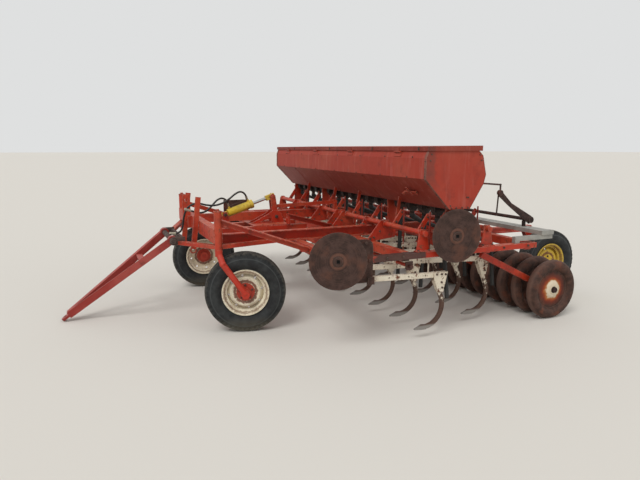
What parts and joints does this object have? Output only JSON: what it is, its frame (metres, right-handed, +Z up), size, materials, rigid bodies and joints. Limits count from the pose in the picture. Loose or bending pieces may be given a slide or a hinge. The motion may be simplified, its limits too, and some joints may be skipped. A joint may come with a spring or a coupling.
{
  "type": "seed drill",
  "caption": "Trailed hoe press drill: long hopper over a ladder frame on casters, two ranks of spring openers, rear press-wheel gangs and a V tongue.",
  "frame": {"origin": "on the ground, under the middle of the bounding box", "axes": "+X along travel, towards the tongue; +Y to the left side; +Z up"},
  "size_m": [5.3674, 3.7368, 1.6406],
  "materials": {
    "frame_red": "sun-faded enamel, chipped",
    "panel_red": "sun-faded enamel, matt",
    "worn_white": "old enamel worn to rust at the edges",
    "wheel_yellow": "old enamel",
    "cylinder_yellow": "enamel",
    "rusty_steel": "rough brown rust",
    "bare_steel": "dull",
    "tyre_rubber": "weathered",
    "black_rubber": "dull",
    "grey_board": "weathered"
  },
  "bodies": {
    "frame": {"main_frame": "frame_red", "long_beams": "frame_red", "front_beam": "frame_red", "frame_braces": "frame_red", "hitch_mast": "frame_red", "hinge_bracket": "rusty_steel", "shaft_stands": "frame_red", "lift_tower": "frame_red", "opener_hangers": "frame_red", "hopper_shell": "panel_red", "hopper_end_left": "panel_red", "hopper_end_right": "panel_red", "hopper_stands": "frame_red", "seed_cups": "rusty_steel", "seed_tubes_front": "black_rubber", "seed_tubes_rear": "black_rubber", "press_arms": "frame_red", "rear_carrier": "frame_red", "footboard": "grey_board", "lift_linkage": "rusty_steel", "end_plates": "rusty_steel", "hydraulic_hoses": "black_rubber"},
    "tongue": {"tongue": "frame_red"},
    "caster_left": {"caster_left": "frame_red"},
    "caster_right": {"caster_right": "frame_red"},
    "front_wheel_left": {"wheel_left": "worn_white", "tyre_left": "tyre_rubber"},
    "front_wheel_right": {"wheel_right": "worn_white", "tyre_right": "tyre_rubber"},
    "back_wheel_left": {"rear_wheel_left": "wheel_yellow", "rear_tyre_left": "tyre_rubber"},
    "back_wheel_right": {"rear_wheel_right": "wheel_yellow", "rear_tyre_right": "tyre_rubber"},
    "press_left": {"press_gang_left": "rusty_steel"},
    "press_right": {"press_gang_right": "rusty_steel"},
    "front_disc": {"disc_front": "rusty_steel"},
    "rear_disc": {"disc_rear": "rusty_steel"},
    "hopper_lid": {"lid": "panel_red"},
    "lift_rocker": {"rocker": "frame_red"},
    "link": {"lift_link": "frame_red"},
    "front_shaft": {"rock_shaft_front": "frame_red"},
    "rear_shaft": {"rock_shaft_rear": "frame_red"},
    "tie": {"tie_link": "frame_red"},
    "front_rank": {"openers_front": "worn_white"},
    "rear_rank": {"openers_rear": "worn_white"},
    "barrel": {"cylinder_barrel": "cylinder_yellow"},
    "piston_rod": {"cylinder_rod": "bare_steel"}
  },
  "joints": [
    {"name": "tongue_hinge", "type": "hinge", "parent": "frame", "child": "tongue", "pos_m": [1.67189, 0, 0.755], "axis": [0, -1, 0], "range_deg": [0, 60]},
    {"name": "caster_swivel_left", "type": "hinge", "parent": "frame", "child": "caster_left", "pos_m": [1.3759, 0.927, 0.9], "axis": [0, 0, 1], "continuous": true},
    {"name": "caster_swivel_right", "type": "hinge", "parent": "frame", "child": "caster_right", "pos_m": [1.3759, -0.927, 0.9], "axis": [0, 0, 1], "continuous": true},
    {"name": "front_wheel_spin_left", "type": "hinge", "parent": "caster_left", "child": "front_wheel_left", "pos_m": [1.14231, 0.91298, 0.36], "axis": [0.2588, 0.9659, 0], "continuous": true},
    {"name": "front_wheel_spin_right", "type": "hinge", "parent": "caster_right", "child": "front_wheel_right", "pos_m": [1.16119, -0.83393, 0.36], "axis": [0.0872, 0.9962, 0], "continuous": true},
    {"name": "back_wheel_spin_left", "type": "hinge", "parent": "frame", "child": "back_wheel_left", "pos_m": [-2.3231, 1, 0.36], "axis": [0, 1, 0], "continuous": true},
    {"name": "back_wheel_spin_right", "type": "hinge", "parent": "frame", "child": "back_wheel_right", "pos_m": [-2.3231, -1, 0.36], "axis": [0, 1, 0], "continuous": true},
    {"name": "press_spin_left", "type": "hinge", "parent": "frame", "child": "press_left", "pos_m": [-1.6481, 0, 0.285], "axis": [0, 1, 0], "continuous": true},
    {"name": "press_spin_right", "type": "hinge", "parent": "frame", "child": "press_right", "pos_m": [-1.6481, 0, 0.285], "axis": [0, 1, 0], "continuous": true},
    {"name": "front_disc_spin", "type": "hinge", "parent": "frame", "child": "front_disc", "pos_m": [0.6619, 1.825, 0.765], "axis": [0.309, 0.9511, 0], "continuous": true},
    {"name": "rear_disc_spin", "type": "hinge", "parent": "frame", "child": "rear_disc", "pos_m": [-0.41811, 1.853, 0.897], "axis": [0.1219, 0.9925, 0], "continuous": true},
    {"name": "lid_hinge", "type": "hinge", "parent": "frame", "child": "hopper_lid", "pos_m": [-0.1141, 0, 1.588], "axis": [0, 1, 0], "range_deg": [0, 100]},
    {"name": "lift", "type": "hinge", "parent": "frame", "child": "lift_rocker", "pos_m": [0.5519, 0, 0.9], "axis": [0, -1, 0], "range_deg": [-6, 31]},
    {"name": "lift_link_pin", "type": "hinge", "parent": "lift_rocker", "child": "link", "pos_m": [0.5519, 0, 1.005], "axis": [0, -1, 0], "range_deg": [-31, 6]},
    {"name": "rock_front", "type": "hinge", "parent": "frame", "child": "front_shaft", "pos_m": [-0.1581, 0, 0.92], "axis": [0, -1, 0], "range_deg": [-6, 31]},
    {"name": "rock_rear", "type": "hinge", "parent": "frame", "child": "rear_shaft", "pos_m": [-0.8281, 0, 0.92], "axis": [0, -1, 0], "range_deg": [-6, 31]},
    {"name": "tie_pin", "type": "hinge", "parent": "front_shaft", "child": "tie", "pos_m": [-0.1581, -0.152, 0.825], "axis": [0, -1, 0], "range_deg": [-31, 6]},
    {"name": "rank_front", "type": "hinge", "parent": "frame", "child": "front_rank", "pos_m": [0.3469, 0, 0.577], "axis": [0, -1, 0], "range_deg": [-1.29, 6.68]},
    {"name": "rank_rear", "type": "hinge", "parent": "frame", "child": "rear_rank", "pos_m": [-0.0381, 0, 0.65], "axis": [0, -1, 0], "range_deg": [-0.88, 4.53]},
    {"name": "barrel_pin", "type": "hinge", "parent": "frame", "child": "barrel", "pos_m": [1.09689, 0, 0.942], "axis": [0, 1, 0], "range_deg": [-4.16, 0.81], "deforming": ["hydraulic_hoses"]},
    {"name": "rod_slide", "type": "slide", "parent": "barrel", "child": "piston_rod", "axis": [-0.9479, 0, 0.3184], "range_m": [-0.0214, 0.1086]}
  ],
  "couplings": [
    {"joint": "lift_link_pin", "follows": "lift", "ratio": -1},
    {"joint": "rock_front", "follows": "lift", "ratio": 1},
    {"joint": "rock_rear", "follows": "lift", "ratio": 1},
    {"joint": "tie_pin", "follows": "lift", "ratio": -1},
    {"joint": "rank_front", "follows": "lift", "ratio": 0.2156},
    {"joint": "rank_rear", "follows": "lift", "ratio": 0.1462},
    {"joint": "barrel_pin", "follows": "lift", "ratio": -0.1338},
    {"joint": "rod_slide", "follows": "lift", "m_per_rad": 0.19981}
  ]
}
